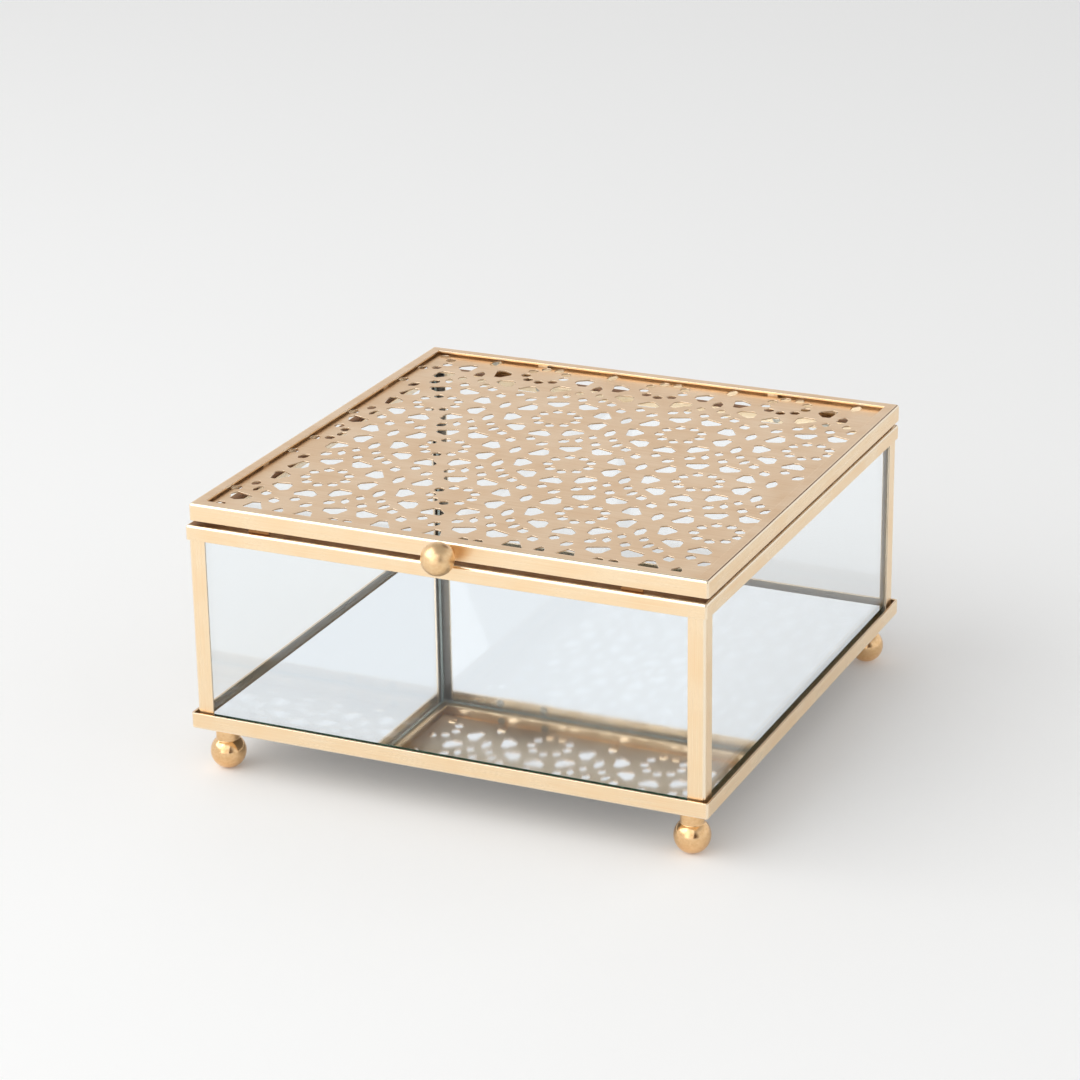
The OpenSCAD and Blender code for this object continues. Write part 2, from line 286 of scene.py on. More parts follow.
@dataclass(frozen=True)
class GroundEdge:
    """Ground edge of glass: bottle green along a mirror's sheet, frosted and pale on a pane."""

    name: str
    deep: str
    pale: str

    def build(self) -> bpy.types.Material:
        """Builds the material.

        Returns:
            The edge material.
        """
        made, tree = new_material(self.name)
        chips = noise(tree, (1.6, 1.6, 0.5), 3.0)
        colour = mix(tree, span(tree, chips, 0.0, 0.6), linear(self.deep), linear(self.pale))
        edge = add_node(
            tree,
            "BsdfPrincipled",
            {"Base Color": colour, "Roughness": span(tree, chips, 0.12, 0.3), "IOR": 1.52},
        )
        add_node(tree, "OutputMaterial", {"Surface": edge})
        return made


@dataclass(frozen=True)
class SilveredMirror:
    """Silvered float glass seen from its front: a cool, slightly dimmed reflection."""

    name: str
    silver: str = "#F6F8FA"

    def build(self) -> bpy.types.Material:
        """Builds the material. A faint film of handling dulls it in slow patches.

        Returns:
            The mirror material.
        """
        made, tree = new_material(self.name)
        film = noise(tree, (26.0, 26.0, 26.0), 3.0)
        mirror = add_node(
            tree,
            "BsdfPrincipled",
            {
                "Base Color": linear(self.silver),
                "Metallic": 1.0,
                "Roughness": span(tree, film, 0.02, 0.055),
            },
        )
        add_node(tree, "OutputMaterial", {"Surface": mirror})
        return made


@dataclass(frozen=True)
class PlainStock:
    """Plain stock that hardly shows: felt, foam tape, bare steel."""

    name: str
    colour: str
    fleck: str
    fleck_mm: float
    roughness: float
    depth_mm: float
    metallic: float = 0.0
    sheen: float = 0.0

    def build(self) -> bpy.types.Material:
        """Builds the material.

        Returns:
            The stock's material.
        """
        made, tree = new_material(self.name)
        grains = noise(tree, (self.fleck_mm,) * 3, 3.0)
        colour = mix(tree, span(tree, grains, 0.0, 1.0), linear(self.colour), linear(self.fleck))
        relief = add_node(tree, "Bump", {"Height": grains, "Distance": self.depth_mm * MM, "Strength": 1.0})
        low, high = self.roughness - 0.06, min(1.0, self.roughness + 0.06)
        stock = add_node(
            tree,
            "BsdfPrincipled",
            {
                "Base Color": colour,
                "Metallic": self.metallic,
                "Roughness": span(tree, grains, low, high),
                "Sheen Weight": self.sheen,
                "Normal": relief,
            },
        )
        add_node(tree, "OutputMaterial", {"Surface": stock})
        return made


BRASS = {
    Grain.ACROSS: BrushedBrass("brass_brushed_across", Grain.ACROSS).build(),
    Grain.DEEP: BrushedBrass("brass_brushed_deep", Grain.DEEP).build(),
    Grain.UP: BrushedBrass("brass_brushed_up", Grain.UP).build(),
}
BRASS_TURNED = BrushedBrass(
    "brass_turned_polished",
    Grain.NONE,
    colour="#F4CFA0",
    streak="#E9BF8C",
    scratch_mm=0.8,
    roughness=0.18,
    scratch_depth_mm=0.0006,
    ripple_depth_mm=0.004,
).build()
BRASS_SATIN = BrushedBrass(
    "brass_turned_satin",
    Grain.NONE,
    colour="#F6D6A8",
    streak="#EEC99A",
    scratch_mm=0.8,
    roughness=0.33,
    scratch_depth_mm=0.001,
    ripple_depth_mm=0.004,
).build()
BRASS_SHEET = BrushedBrass(
    "brass_sheet_etched",
    Grain.ACROSS,
    colour="#F0D3B2",
    streak="#E7C8A3",
    roughness=0.34,
    ripple_depth_mm=0.02,
).build()
# Darker brass on the openings' walls: painted shade.
BRASS_WALL_PAINTED_SHADE = BrushedBrass(
    "brass_wall_painted_shade",
    Grain.NONE,
    colour="#B98A5C",
    streak="#A5764A",
    worn="#E2BE90",
    roughness=0.36,
    ripple_depth_mm=0.0,
).build()
# Dark brass: painted shade on the upper frame's flange top, under the lid, and on the lid rests.
BRASS_PAINTED_SHADE = BrushedBrass(
    "brass_painted_shade",
    Grain.ACROSS,
    colour="#A57A50",
    streak="#946A43",
    worn="#BD9468",
    roughness=0.46,
).build()
# Pale brass: painted light on the posts' inner faces and the sheet's underside.
BRASS_PAINTED_LIGHT = BrushedBrass(
    "brass_pale_painted_light",
    Grain.ACROSS,
    colour="#F7EBD9",
    streak="#EFE0CA",
    worn="#F7EBD9",
    roughness=0.58,
    ripple_depth_mm=0.0,
).build()
GLASS_FACE = FloatGlass("float_glass_clear", "#FCFEFF", 0.0).build()
PANE_EDGE = GroundEdge("pane_ground_edge_pale", "#C3D3CC", "#F2F8F5").build()
MIRROR_EDGE = GroundEdge("mirror_ground_edge_green", "#1E3326", "#4A6B55").build()
MIRROR_FACE = SilveredMirror("mirror_silvered").build()
FELT = PlainStock("felt_grey", "#7D7870", "#6A655E", 0.6, 0.95, 0.08, sheen=0.4).build()
FOAM = PlainStock("foam_tape_grey", "#B9B9B2", "#A4A49C", 0.8, 0.9, 0.05).build()
STEEL = PlainStock("steel_bright_drawn", "#C9C2B4", "#B4AC9D", 0.5, 0.32, 0.004, metallic=1.0).build()
TIN = PlainStock("solder_tin_bright", "#D8CFBF", "#BFB29B", 0.9, 0.36, 0.03, metallic=1.0).build()


# ------------------------------------------------------------------ surfaces


def rounded_outline(corners: np.ndarray, radii: np.ndarray, steps: int) -> tuple[np.ndarray, np.ndarray]:
    """Rounds the corners of a closed outline.

    Each corner gives way to an arc that touches both of its sides: the arc's centre lies on the
    corner's bisector, radius / sin(half the corner's angle) from it, and its points turn evenly
    from one touching point to the other.

    Args:
        corners: (n, 2) corner points in order.
        radii: (n,) radius at each corner.
        steps: parts that each arc is cut into.

    Returns:
        (n * (steps + 1), 2) points, and for each how far it is into its arc: 0 at the ends, 1 midway.
    """
    before, after = np.roll(corners, 1, 0) - corners, np.roll(corners, -1, 0) - corners
    before /= np.linalg.norm(before, axis=1, keepdims=True)
    after /= np.linalg.norm(after, axis=1, keepdims=True)
    half = np.arccos(np.clip((before * after).sum(1), -1, 1)) / 2
    bisector = before + after
    bisector /= np.linalg.norm(bisector, axis=1, keepdims=True)
    centre = corners + bisector * (radii / np.sin(half))[:, None]
    start = corners + before * (radii / np.tan(half))[:, None] - centre
    end = corners + after * (radii / np.tan(half))[:, None] - centre
    turn = np.arctan2(start[:, 0] * end[:, 1] - start[:, 1] * end[:, 0], (start * end).sum(1))
    t = np.linspace(0, 1, steps + 1)
    angle = turn[:, None] * t
    cos, sin = np.cos(angle)[..., None], np.sin(angle)[..., None]
    across = np.stack([-start[:, 1], start[:, 0]], -1)
    points = centre[:, None] + start[:, None] * cos + across[:, None] * sin
    bend = np.broadcast_to(np.sin(np.pi * t), angle.shape)
    return points.reshape(-1, 2), bend.reshape(-1)


def outline_normals(points: np.ndarray) -> np.ndarray:
    """Outward normals of closed outlines that run anticlockwise: the chord between a point's two
    neighbours, turned a quarter turn clockwise.

    Args:
        points: (..., n, 2) points in order.

    Returns:
        (..., n, 2) unit normals.
    """
    chord = np.roll(points, -1, -2) - np.roll(points, 1, -2)
    normal = np.stack([chord[..., 1], -chord[..., 0]], -1)
    return normal / np.maximum(np.linalg.norm(normal, axis=-1, keepdims=True), 1e-9)


def grid_faces(rows: int, columns: int, wrap: bool) -> np.ndarray:
    """Quads of a grid of points, row by row.

    Args:
        rows: number of rows.
        columns: points in a row.
        wrap: True if each row closes on itself.

    Returns:
        (m, 4) vertex numbers.
    """
    r = np.arange(rows - 1)[:, None] * columns
    c = np.arange(columns if wrap else columns - 1)[None]
    d = (c + 1) % columns
    return np.stack([r + c, r + d, r + columns + d, r + columns + c], -1).reshape(-1, 4)


def put_mesh(
    name: str,
    points: np.ndarray,
    faces: list,
    wear: np.ndarray | None = None,
) -> bpy.types.Object:
    """Writes a closed shell into a new object, with its faces outward.

    Args:
        name: the object's name.
        points: (n, 3) vertices in millimetres.
        faces: lists of vertex numbers.
        wear: how rubbed each vertex is, 0 to 1.

    Returns:
        The new object.
    """
    mesh = bpy.data.meshes.new(name)
    mesh.from_pydata((points * MM).tolist(), [], [list(map(int, f)) for f in faces])
    mesh.update()
    mesh.calc_loop_triangles()
    tris = np.zeros(len(mesh.loop_triangles) * 3, np.int32)
    mesh.loop_triangles.foreach_get("vertices", tris)
    a, b, c = (points[tris.reshape(-1, 3)[:, i]] for i in range(3))
    if np.einsum("ij,ij->", a, np.cross(b, c)) < 0:
        mesh.flip_normals()
    rubbed = np.zeros(len(points)) if wear is None else wear
    mesh.attributes.new(WEAR, "FLOAT", "POINT").data.foreach_set("value", rubbed.astype(np.float32))
    made = bpy.data.objects.new(name, mesh)
    bpy.context.scene.collection.objects.link(made)
    return made


def face_normals(obj: bpy.types.Object) -> np.ndarray:
    """Unit normals of a piece's faces, as (n, 3)."""
    normals = np.zeros(len(obj.data.polygons) * 3, np.float32)
    obj.data.polygons.foreach_get("normal", normals)
    return normals.reshape(-1, 3)


def set_slots(obj: bpy.types.Object, slots: np.ndarray) -> None:
    """Sets which of a piece's materials each of its faces takes.

    Args:
        obj: the piece.
        slots: material place of each face.
    """
    obj.data.polygons.foreach_set("material_index", slots.astype(np.int32))


def smooth(obj: bpy.types.Object, angle_deg: float, flat_faces: bool) -> bpy.types.Object:
    """Shades a piece smooth, except across sharp edges.

    Args:
        obj: the piece.
        angle_deg: edges sharper than this stay sharp.
        flat_faces: True to keep large faces flat and let only their eased edges turn the light.

    Returns:
        The piece.
    """
    obj.data.set_sharp_from_angle(angle=np.radians(angle_deg))
    if flat_faces:
        weights = obj.modifiers.new("flat_faces", "WEIGHTED_NORMAL")
        weights.mode, weights.weight, weights.keep_sharp = "FACE_AREA", 100, True
    return obj


def swept_bar(
    name: str,
    outline: np.ndarray,
    bend: np.ndarray,
    half_length: float,
    roll: float,
    place: np.ndarray,
    stations: int = 9,
) -> bpy.types.Object:
    """Carries a closed outline along a straight bar with rolled-over ends.

    A point is (s, u, v): u and v come from the outline, and s runs from -half_length to
    half_length. Near the ends the outline draws in by roll * (1 - cos q) while s comes up by
    roll * sin q, a quarter circle.

    Args:
        name: the object's name.
        outline: (n, 2) points, u inward from the bar's outer face and v upward.
        bend: (n,) how far each point is into a rounded corner.
        half_length: half the bar's length.
        roll: radius of the rolled-over ends.
        place: 3 x 4 matrix that takes (s, u, v, 1) to the frame.
        stations: outlines along the straight part.

    Returns:
        The bar.
    """
    area = np.sum(outline[:, 0] * np.roll(outline[:, 1], -1) - np.roll(outline[:, 0], -1) * outline[:, 1])
    normal = outline_normals(outline) * np.sign(area)
    q = np.linspace(0, np.pi / 2, 4)
    t = np.linspace(-1, 1, stations)[1:-1]
    inset = np.concatenate([roll * (1 - np.sin(q)), np.zeros(len(t)), roll * (1 - np.sin(q[::-1]))])
    back = np.concatenate([roll * (1 - np.cos(q)), np.full(len(t), roll), roll * (1 - np.cos(q[::-1]))])
    side = np.concatenate([-np.ones(len(q)), t, np.ones(len(q))])
    uv = outline[None] - normal[None] * inset[:, None, None]
    s = np.broadcast_to((side * (half_length - back))[:, None], uv.shape[:2])
    local = np.concatenate([s[..., None], uv, np.ones_like(s)[..., None]], -1)
    points = local.reshape(-1, 4) @ place.T
    n, rows = len(outline), len(side)
    faces = grid_faces(rows, n, True).tolist()
    faces += [list(range(n))[::-1], list(range((rows - 1) * n, rows * n))]
    end_wear = np.where(inset > 0, RUBBED, 0.0)[:, None]
    wear = np.maximum(np.broadcast_to(bend, (rows, n)), end_wear).reshape(-1)
    return smooth(put_mesh(name, points, faces, wear), SHARP_DEG, True)


def mitred_rail(
    name: str,
    outline: np.ndarray,
    bend: np.ndarray,
    half_length: float,
    corner: float,
    gap: float,
    place: np.ndarray,
) -> bpy.types.Object:
    """Carries a closed outline along a rail whose wall wraps round half of each corner.

    A point is (s, u, v). Where u is under the corner's radius r, it turns round the corner's
    centre from 0 to 45 degrees: s = half_length - r + (r - u) sin a and u' = r - (r - u) cos a.
    Where u is over r, the flange runs straight on to its mitre, s = half_length - u - gap, and
    its last rows lie within three gaps of it.

    Args:
        name: the object's name.
        outline: (n, 2) points, u inward from the rail's outer face and v upward.
        bend: (n,) how far each point is into a rounded corner.
        half_length: half the rail's length on its outer face.
        corner: radius of the frame's corners in plan.
        gap: how far the flange stops short of its mitre.
        place: 3 x 4 matrix that takes (s, u, v, 1) to the frame.

    Returns:
        The rail.
    """
    u = outline[:, 0]
    wraps = np.maximum(corner - u, 0)
    a = np.linspace(0, np.pi / 4, 7)[:, None]
    run = a / a.max()
    last = 3 * gap
    reach = np.where(u < corner, half_length - corner, half_length - u - gap - last)
    end_s = reach + np.where(u < corner, wraps * np.sin(a), last * run)
    end_u = np.where(u < corner, corner - wraps * np.cos(a), u + 0 * a)
    t = np.linspace(-1, 1, 9)[1:-1, None]
    s = np.concatenate([-end_s[::-1], t * reach, end_s])
    across = np.concatenate([end_u[::-1], u + 0 * t, end_u])
    local = np.stack([s, across, np.broadcast_to(outline[:, 1], s.shape), np.ones_like(s)], -1)
    n, rows = len(outline), len(s)
    faces = grid_faces(rows, n, True).tolist()
    faces += [list(range(n))[::-1], list(range((rows - 1) * n, rows * n))]
    turn = np.concatenate([run[::-1], 0 * t, run]) * (u < corner) * RUBBED
    wear = np.maximum(np.broadcast_to(bend, (rows, n)), turn).reshape(-1)
    return smooth(put_mesh(name, local.reshape(-1, 4) @ place.T, faces, wear), SHARP_DEG, True)


def side_place(side: int, outer: float, along: float, z: float) -> np.ndarray:
    """Matrix from a bar's (s, u, v) to one side of a square frame.

    Args:
        side: 0 front, 1 right, 2 back, 3 left.
        outer: the outer face's coordinate on that side's axis.
        along: the bar's middle on the other axis.
        z: level of v = 0.

    Returns:
        3 x 4 matrix.
    """
    run = np.array([[1, 0], [0, 1], [-1, 0], [0, -1]][side])
    inward = np.array([-run[1], run[0]])
    origin = np.array([along, outer]) if side % 2 == 0 else np.array([outer, along])
    made = np.zeros((3, 4))
    made[:2, 0], made[:2, 1], made[:2, 3] = run, inward, origin
    made[2, 2], made[2, 3] = 1, z
    return made


@dataclass(frozen=True)
class AngleSection:
    """Folded angle: a wall and a flange with a round outer fold and eased edges."""

    wall: float
    flange: float
    sheet: float = 0.6
    fold: float = 0.8
    ease: float = 0.12

    def outline(self, upward: bool) -> tuple[np.ndarray, np.ndarray]:
        """Outline of the section, u inward and v upward from the lower edge.

        Args:
            upward: True if the flange is below and the wall stands up.

        Returns:
            The points and how far each is into a rounded corner.
        """
        s = self.sheet
        corners = np.array(
            [[0, 0], [self.flange, 0], [self.flange, s], [s, s], [s, self.wall], [0, self.wall]], float
        )
        radii = np.array([self.fold, self.ease, self.ease, self.fold - s, self.ease, self.ease])
        points, bend = rounded_outline(corners, radii, 5)
        if not upward:
            points[:, 1] = self.wall - points[:, 1]
        return points, bend


def node_box(name: str) -> tuple[np.ndarray, np.ndarray]:
    """A CAD node's lowest and highest corners, in millimetres."""
    low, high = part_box(name)
    return np.array(low) / MM, np.array(high) / MM


def dress(
    obj: bpy.types.Object, body: str, slot: str, nodes: list[str], *materials: bpy.types.Material
) -> bpy.types.Object:
    """Gives a piece its materials and body, and hides the nodes that it stands for.

    Args:
        obj: the piece.
        body: the CAD body that it rides on.
        slot: not used.
        nodes: CAD nodes that it replaces.
        materials: its materials in order.

    Returns:
        The piece.
    """
    for material in materials:
        obj.data.materials.append(material)
    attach(obj, body)
    if nodes:
        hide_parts(*nodes)
    LOG.info("%s rides on %s, %d faces", obj.name, body, len(obj.data.polygons))
    return obj


# -------------------------------------------------------------- sub-assemblies


@dataclass
class MitredFrame:
    """Four mitred lengths of folded angle that make one square frame."""

    prefix: str
    body: str
    slot: str
    upward: bool
    flange: float = 4.8
    corner: float = 0.82
    gap: float = 0.04
    top: bpy.types.Material = BRASS_SHEET

    def build(self) -> None:
        """Builds the four rails in place of their CAD nodes."""
        boxes = [node_box(f"{self.prefix}_{word}") for word in SIDES]
        low = np.min([box[0] for box in boxes], 0)
        high = np.max([box[1] for box in boxes], 0)
        section = AngleSection(high[2] - low[2], self.flange)
        outline, bend = section.outline(self.upward)
        for side, word in enumerate(SIDES):
            node = f"{self.prefix}_{word}"
            axis = side % 2
            outer = (low[1], high[0], high[1], low[0])[side]
            along = (low[axis] + high[axis]) / 2
            half = (high[axis] - low[axis]) / 2
            place = side_place(side, outer, along, low[2])
            rail = mitred_rail(f"{node}_brass", outline, bend, half, self.corner, self.gap, place)
            set_slots(rail, face_normals(rail)[:, 2] > LEVEL)
            dress(rail, self.body, self.slot, [node], BRASS[Grain(axis)], self.top)


@dataclass
class CornerPosts:
    """Four posts of folded angle, folds outward, their inner faces in pale brass: painted light."""

    width: float = 4.8
    roll: float = 0.05

    def build(self) -> None:
        """Builds the posts. Each is the angle's outline carried upward."""
        for corner in CORNERS:
            node = f"post_{corner}"
            low, high = node_box(node)
            sx = 1 if "left" in corner else -1
            sy = 1 if "front" in corner else -1
            x = low[0] if sx > 0 else high[0]
            y = low[1] if sy > 0 else high[1]
            outline, bend = AngleSection(self.width, self.width).outline(True)
            place = np.array([[0, sx, 0, x], [0, 0, sy, y], [1, 0, 0, (low[2] + high[2]) / 2]], float)
            post = swept_bar(f"{node}_brass", outline, bend, (high[2] - low[2]) / 2, self.roll, place)
            inward = face_normals(post)[:, :2] * (sx, sy)
            # Inner faces take the pale brass: painted light.
            set_slots(post, inward.max(1) > ALONG)
            dress(post, CASE, "brass_case", [node], BRASS[Grain.UP], BRASS_PAINTED_LIGHT)


def slab(name: str, low: np.ndarray, high: np.ndarray, arris: float) -> bpy.types.Object:
    """Flat sheet with its edges eased: a rounded rectangle carried along the sheet's longest way.

    Args:
        name: the object's name.
        low: lowest corner.
        high: highest corner.
        arris: radius of the eased edges.

    Returns:
        The slab. Faces that look along its thickness are in material place 0, the rest in 1.
    """
    size = high - low
    thin = int(np.argmin(size))
    long = 2 if thin != 2 else 0
    wide = 3 - thin - long
    rect = np.array([[0, 0], [size[thin], 0], [size[thin], size[wide]], [0, size[wide]]])
    outline, bend = rounded_outline(rect, np.full(4, arris), 3)
    place = np.zeros((3, 4))
    place[long, 0], place[thin, 1], place[wide, 2] = 1, 1, 1
    place[long, 3], place[thin, 3], place[wide, 3] = (low[long] + high[long]) / 2, low[thin], low[wide]
    made = swept_bar(name, outline, bend, size[long] / 2, arris, place, 3)
    set_slots(made, np.abs(face_normals(made)[:, thin]) < ALONG)
    return made


@dataclass
class Glazing:
    """Four upright panes of float glass."""

    arris: float = 0.2

    def build(self) -> None:
        """Builds the panes in place of their CAD nodes."""
        for word in SIDES:
            node = f"glass_{word}"
            pane = slab(f"{node}_pane", *node_box(node), self.arris)
            dress(pane, CASE, "glass", [node], GLASS_FACE, PANE_EDGE)


@dataclass
class MirrorFloor:
    """Mirror on two strips of foam tape over a steel plate, with felt underneath."""

    arris: float = 0.15

    def build(self) -> None:
        """Builds the mirror and dresses the layers under it."""
        mirror = slab("mirror_floor_glass", *node_box("mirror_floor"), self.arris)
        set_slots(mirror, face_normals(mirror)[:, 2] < ALONG)
        dress(mirror, CASE, "mirror", ["mirror_floor"], MIRROR_FACE, MIRROR_EDGE)
        for node, material in (("base_felt", FELT), ("base_plate", STEEL), ("mirror_tape", FOAM)):
            dress_node(node, material)


def dress_node(node: str, material: bpy.types.Material) -> None:
    """Puts a material in every slot of a CAD node that stays shown.

    Args:
        node: the CAD node's name.
        material: its finish.
    """
    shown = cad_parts[node]
    for place in shown.material_slots:
        place.material = material
    LOG.info("%s keeps its CAD mesh in %s", node, material.name)


def turned(name: str, profile: np.ndarray, place: np.ndarray, around: int = 64) -> bpy.types.Object:
    """Turns a profile round an axis: (r cos a, r sin a, h) for each profile point (r, h).

    Args:
        name: the object's name.
        profile: (n, 2) radius and height, from one end of the axis to the other.
        place: 3 x 4 matrix that takes (x, y, h, 1) to the frame.
        around: points round the axis.

    Returns:
        The turned piece, closed at both ends by a flat disc.
    """
    angle = np.linspace(0, 2 * np.pi, around, endpoint=False)
    radius, height = profile[:, :1], profile[:, 1:]
    rows = len(profile)
    level = height + 0 * angle
    local = np.stack([radius * np.cos(angle), radius * np.sin(angle), level, np.ones((rows, around))], -1)
    points = local.reshape(-1, 4) @ place.T
    faces = grid_faces(rows, around, True).tolist()
    faces += [list(range(around))[::-1], list(range((rows - 1) * around, rows * around))]
    return smooth(put_mesh(name, points, faces), SHARP_DEG, False)


def ball_profile(
    radius: float, centre: float, flat: float, neck_r: float, end: float, fillet: float
) -> np.ndarray:
    """Profile of a ball on a neck: an arc up to where a fillet meets it, the fillet, and the neck.

    The fillet's centre is neck_r + fillet out and lies radius + fillet from the ball's centre.

    Args:
        radius: the ball's radius.
        centre: height of the ball's centre.
        flat: depth of the flat cut off the ball's far end.
        neck_r: radius of the neck.
        end: height of the neck's end.
        fillet: radius of the fillet between the ball and the neck.

    Returns:
        (n, 2) radius and height.
    """
    start = np.arccos((radius - flat) / radius)
    out = neck_r + fillet
    lift = np.sqrt((radius + fillet) ** 2 - out**2)
    stop = np.pi - np.arctan2(out, lift)
    a = np.linspace(start, stop, 40)
    ball = np.stack([radius * np.sin(a), centre - radius * np.cos(a)], -1)
    b = np.linspace(-np.pi + np.arctan2(lift, out), -np.pi, 8)
    cove = np.stack([out + fillet * np.cos(b), centre + lift + fillet * np.sin(b)], -1)
    ease = 0.15
    neck = np.array([[neck_r, (centre + lift + end) / 2], [neck_r, end - ease], [neck_r - ease, end]])
    return np.concatenate([ball, cove[1:], neck])


@dataclass
class BallFeet:
    """Four turned ball feet on short necks."""

    flat: float = 0.15
    neck_r: float = 3.2
    fillet: float = 0.35

    def build(self) -> None:
        """Builds the feet in place of their CAD nodes."""
        for corner in CORNERS:
            node = f"foot_{corner}"
            low, high = node_box(node)
            radius = (high[0] - low[0]) / 2
            middle = (low + high) / 2
            centre = low[2] + radius - self.flat
            profile = ball_profile(radius, centre, self.flat, self.neck_r, high[2], self.fillet)
            place = np.eye(3, 4)
            place[:2, 3] = middle[:2]
            foot = turned(f"{node}_ball", profile, place)
            dress(foot, CASE, "brass_ball", [node], BRASS_TURNED)
        dress_node("foot_screws", STEEL)


@dataclass
class BallKnob:
    """Turned ball knob on a short collar at the front of the lid."""

    collar_r: float = 2.2
    fillet: float = 0.5
    tip: float = 0.002

    def build(self) -> None:
        """Builds the knob in place of its CAD node. The ball's axis runs to the front."""
        low, high = node_box("knob")
        radius = (high[0] - low[0]) / 2
        middle = (low + high) / 2
        centre = high[1] - (low[1] + radius)
        profile = ball_profile(radius, 0.0, self.tip, self.collar_r, centre, self.fillet)
        place = np.array([[1, 0, 0, middle[0]], [0, 0, 1, low[1] + radius], [0, 1, 0, middle[2]]], float)
        knob = turned("knob_ball", profile, place)
        dress(knob, LID, "brass_ball", ["knob"], BRASS_SATIN)
        dress_node("knob_stud", STEEL)


@dataclass
class PiercedSheet:
    """Sheet pierced with rows of rosettes: nine petals and nine seeds, bordered by short slots."""

    pitch_x: float = 37.7
    pitch_y: float = 34.1
    first_x: float = -12.95
    first_y: float = -39.1
    ring_turn: float = 2.5
    petals: int = 9
    petal_r: float = 12.8
    petal_len: float = 4.8
    petal_w: float = 6.8
    seed_r: float = 6.0
    seed: float = 3.2
    tall: float = 6.4
    short: float = 4.0
    slot: float = 2.8
    margin: float = 0.4
    edge: float = 0.1
    petal_round: float = 0.45
    bead_round: float = 0.3
    corner: float = 0.4
    rows_out: int = 4

    def shapes(self) -> dict[str, np.ndarray]:
        """Outlines of the openings, each round the origin and pointing along +X.

        Returns:
            Name to (n, 2) points.
        """
        half, w = self.petal_len / 2, self.petal_w / 2
        petal = np.array([[-1, -0.26], [0.14, -1], [1, -0.84], [1, 0.84], [0.14, 1], [-1, 0.26]]) * (half, w)
        turn = np.arange(6) * np.pi / 3
        seed = np.stack([np.cos(turn), np.sin(turn)], -1) * self.seed / 2
        kite = np.array([[0.5, 0.0], [0.2, 0.5], [-0.2, 0.5], [-0.5, 0.0], [-0.2, -0.5], [0.2, -0.5]])
        sharp = {"petal": petal, "seed": seed}
        sharp |= {name: kite * row[2:4] for name, row in self.borders().items()}
        rounds = {name: self.petal_round if name == "petal" else self.bead_round for name in sharp}
        return {name: rounded_outline(six, np.full(6, rounds[name]), 2)[0] for name, six in sharp.items()}

    def borders(self) -> dict[str, tuple[float, float, float, float, float]]:
        """Border openings of a rosette: across and up as parts of the pitches, length, width, turn."""
        long, short, w = self.tall, self.short, self.slot
        return {
            "upper": (0.5, 0.165, long, w, 0.0),
            "lower": (0.5, -0.178, long, w, 0.0),
            "drop": (0.5, -0.472, short - 0.2, w, 0.0),
            "bead": (0.0, -0.533, short - 0.4, w, 0.0),
            "wing": (0.418, -0.322, short - 0.4, w - 0.4, 8.0),
            "blade": (0.347, -0.428, short + 0.6, w - 0.6, 16.0),
            "leaf": (0.252, -0.495, short, w, -24.0),
            "tip": (0.127, -0.621, short + 0.4, w, -28.0),
        }

    def places(self, half_x: float, half_y: float) -> list[tuple[str, np.ndarray]]:
        """Where each kind of opening goes, as x, y and turn, for those inside the sheet.

        Rosettes stand on rows pitch_y apart, every other row moved on by half of pitch_x. A border
        opening that is off its border's own middle is mirrored to the rosette's other side.

        Args:
            half_x: half the sheet's width.
            half_y: half the sheet's depth.

        Returns:
            Name and (n, 3) places of each kind.
        """
        reach = np.arange(-self.rows_out, self.rows_out + 1)
        j, i = (part.reshape(-1) for part in np.meshgrid(reach, reach, indexing="ij"))
        x = self.first_x + i * self.pitch_x + np.abs(j) % 2 * self.pitch_x / 2
        centre = np.stack([x, self.first_y + j * self.pitch_y], -1)
        turn = np.radians(-90 + self.ring_turn + 360 / self.petals * np.arange(self.petals))
        ray = np.stack([np.cos(turn), np.sin(turn)], -1)
        wanted = {
            "petal": (self.petal_r * ray, turn, self.petal_w / 2 + 0.2),
            "seed": (self.seed_r * ray, turn, self.seed / 2),
        }
        for name, (across, up, length, _, tilt) in self.borders().items():
            sides = np.array([1.0] if across in (0.0, 0.5) else [-1.0, 1.0])
            offsets = np.stack([sides * across * self.pitch_x, 0 * sides + up * self.pitch_y], -1)
            wanted[name] = (offsets, np.pi / 2 + sides * np.radians(tilt), length / 2)
        limit = np.array([half_x, half_y]) - self.margin
        found = []
        for name, (offsets, angles, half_size) in wanted.items():
            xy = centre[:, None] + offsets
            turns = np.broadcast_to(angles, xy.shape[:2])[..., None]
            where = np.concatenate([xy, turns], -1).reshape(-1, 3)
            found.append((name, where[(np.abs(where[:, :2]) + half_size < limit).all(1)]))
        return found

    def openings(self, half_x: float, half_y: float) -> list[np.ndarray]:
        """Outlines of all openings, one array for each kind.

        Args:
            half_x: half the sheet's width.
            half_y: half the sheet's depth.

        Returns:
            (count, points, 2) outlines of each kind.
        """
        shapes = self.shapes()
        made = []
        for name, places in self.places(half_x, half_y):
            cos, sin = np.cos(places[:, 2]), np.sin(places[:, 2])
            turn = np.stack([np.stack([cos, sin], -1), np.stack([-sin, cos], -1)], -2)
            made.append(shapes[name] @ turn + places[:, None, :2])
        return made

